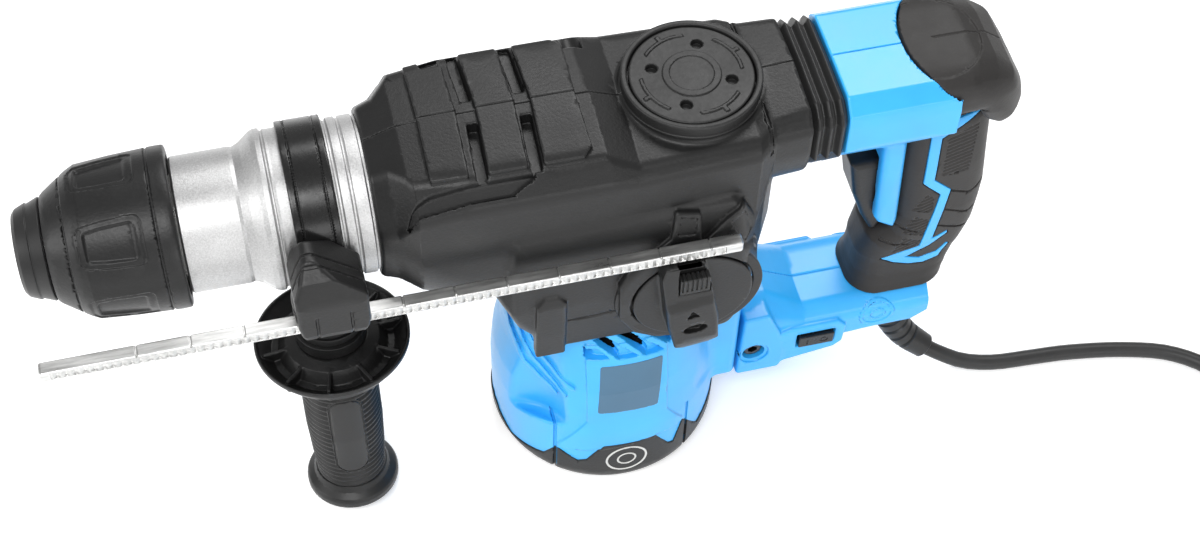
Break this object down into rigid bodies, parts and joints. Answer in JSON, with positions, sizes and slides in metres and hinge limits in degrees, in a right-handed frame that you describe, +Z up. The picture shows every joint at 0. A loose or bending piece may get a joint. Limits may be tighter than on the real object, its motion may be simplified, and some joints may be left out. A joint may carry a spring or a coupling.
{
  "type": "electric jackhammer",
  "caption": "Corded rotary hammer: barrel with tool chuck, upright motor, D handle with trigger, clamp-on side handle, depth rod and mode dial",
  "frame": {"origin": "centre of the motor foot's flat underside, on the surface the tool stands on", "axes": "+X runs along the barrel from the chuck's nose to the rear handle, +Z is up, and -Y is the side with the mode dial and the depth rod"},
  "size_m": [0.613, 0.1875, 0.2144],
  "materials": {
    "black": "matte textured charcoal plastic",
    "blue": "satin bright blue plastic",
    "alu": "cast, bead-blasted",
    "rubber": "matte black rubber",
    "soft": "soft-touch overmould, fine grain",
    "steel": "machined",
    "dark_steel": "oiled dark steel",
    "copper": "copper",
    "carbon": "pressed carbon",
    "label": "blank printed film",
    "white": "white printed badge",
    "cord": "black rubber sheath"
  },
  "bodies": {
    "housing": {"housing_near": "black", "housing_far": "black", "front_barrel": "alu", "grease_cap": "black", "bellows": "rubber", "motor_housing": "blue", "foot_cap": "black", "label_plate": "label", "foot_badge": "white", "stator": "dark_steel", "brush_left": "carbon", "brush_right": "carbon", "gear_plate": "alu", "dial_ring": "black", "cord": "cord", "cord_coil": "cord", "plug_body": "rubber", "plug_pin_a": "steel", "plug_pin_b": "steel"},
    "rotor": {"motor_shaft": "steel", "armature_core": "dark_steel", "commutator": "copper", "fan": "black", "motor_pinion": "steel"},
    "crank": {"crank_gear": "steel", "crank_pin": "steel"},
    "lay_shaft": {"lay_gear": "steel"},
    "spindle": {"tool_holder": "steel", "nose_cap": "rubber", "lock_ball_upper": "steel", "lock_ball_lower": "steel", "bevel_gear": "steel", "chuck_spring": "steel"},
    "chuck": {"chuck_sleeve": "black"},
    "striker": {"impact_bolt": "steel"},
    "ram_body": {"ram": "steel"},
    "piston_body": {"piston": "steel"},
    "con_rod": {"connecting_rod": "steel"},
    "side_clamp": {"clamp_band": "black", "clamp_head": "black", "handle_bolt": "steel"},
    "side_handle": {"handle_neck": "black", "hand_guard": "black", "side_grip": "rubber"},
    "depth_stop": {"depth_rod": "steel"},
    "dial": {"mode_dial": "black"},
    "dial_button": {"dial_release": "black"},
    "rear_handle": {"handle_near": "blue", "handle_far": "blue", "rear_cap": "soft", "grip_pad": "soft", "switch_body": "black", "trigger_spring": "steel", "pivot_pin": "steel", "pivot_screw_near": "dark_steel", "pivot_screw_far": "dark_steel", "cord_guard": "rubber"},
    "trigger_body": {"trigger": "black"},
    "rocker": {"rocker_switch": "black"}
  },
  "joints": [
    {"name": "motor_spin", "type": "hinge", "parent": "housing", "child": "rotor", "pos_m": [0, 0, 0.06], "axis": [0, 0, 1], "continuous": true},
    {"name": "crank_spin", "type": "hinge", "parent": "housing", "child": "crank", "pos_m": [0.0315, 0, 0.12], "axis": [0, 0, 1], "continuous": true},
    {"name": "lay_spin", "type": "hinge", "parent": "housing", "child": "lay_shaft", "pos_m": [-0.03, 0, 0.12], "axis": [0, 0, 1], "continuous": true},
    {"name": "spindle_spin", "type": "hinge", "parent": "housing", "child": "spindle", "pos_m": [-0.1, 0, 0.176], "axis": [1, 0, 0], "continuous": true},
    {"name": "chuck_slide", "type": "slide", "parent": "spindle", "child": "chuck", "axis": [1, 0, 0], "range_m": [0, 0.006], "stiffness_N_per_m": 1500, "springref_m": -0.004, "deforming": ["chuck_spring"]},
    {"name": "striker_slide", "type": "slide", "parent": "spindle", "child": "striker", "axis": [1, 0, 0], "range_m": [-0.0015, 0.004]},
    {"name": "ram_slide", "type": "slide", "parent": "spindle", "child": "ram_body", "axis": [1, 0, 0], "range_m": [-0.004, 0.018]},
    {"name": "piston_slide", "type": "slide", "parent": "housing", "child": "piston_body", "axis": [1, 0, 0], "range_m": [0, 0.02]},
    {"name": "con_rod_swing", "type": "hinge", "parent": "piston_body", "child": "con_rod", "pos_m": [-0.07, 0, 0.176], "axis": [0, 0, 1], "range_deg": [-6, 6]},
    {"name": "clamp_swing", "type": "hinge", "parent": "housing", "child": "side_clamp", "pos_m": [-0.1186, 0, 0.176], "axis": [-1, 0, 0], "range_deg": [0, 40]},
    {"name": "side_grip_twist", "type": "hinge", "parent": "side_clamp", "child": "side_handle", "pos_m": [-0.1186, -0.01184, 0.0767], "axis": [0, -0.1184, -0.993], "range_deg": [-180, 180]},
    {"name": "depth_slide", "type": "slide", "parent": "side_clamp", "child": "depth_stop", "axis": [1, 0, 0], "range_m": [-0.12, 0.06]},
    {"name": "dial_turn", "type": "hinge", "parent": "housing", "child": "dial", "pos_m": [0.024, -0.045, 0.131], "axis": [0, 1, 0], "range_deg": [-90, 90]},
    {"name": "dial_release_slide", "type": "slide", "parent": "dial", "child": "dial_button", "axis": [0, 0, 1], "range_m": [0, 0.005], "stiffness_N_per_m": 300, "springref_m": -0.003},
    {"name": "rear_handle_rock", "type": "hinge", "parent": "housing", "child": "rear_handle", "pos_m": [0.063, 0, 0.0435], "axis": [0, -1, 0], "range_deg": [0, 1.2], "stiffness_Nm_per_rad": 500, "springref_deg": -0.34, "deforming": ["bellows"]},
    {"name": "trigger_press", "type": "hinge", "parent": "rear_handle", "child": "trigger_body", "pos_m": [0.117, 0, 0.1034], "axis": [0, 1, 0], "range_deg": [0, 6], "stiffness_Nm_per_rad": 3, "springref_deg": -4.58, "deforming": ["trigger_spring"]},
    {"name": "rocker_tilt", "type": "hinge", "parent": "rear_handle", "child": "rocker", "pos_m": [0.0912, -0.022, 0.0468], "axis": [1, 0, 0], "range_deg": [-8, 8]}
  ],
  "couplings": [
    {"joint": "crank_spin", "follows": "motor_spin", "ratio": -0.28571},
    {"joint": "lay_spin", "follows": "motor_spin", "ratio": -0.30769},
    {"joint": "spindle_spin", "follows": "motor_spin", "ratio": 0.12637}
  ]
}
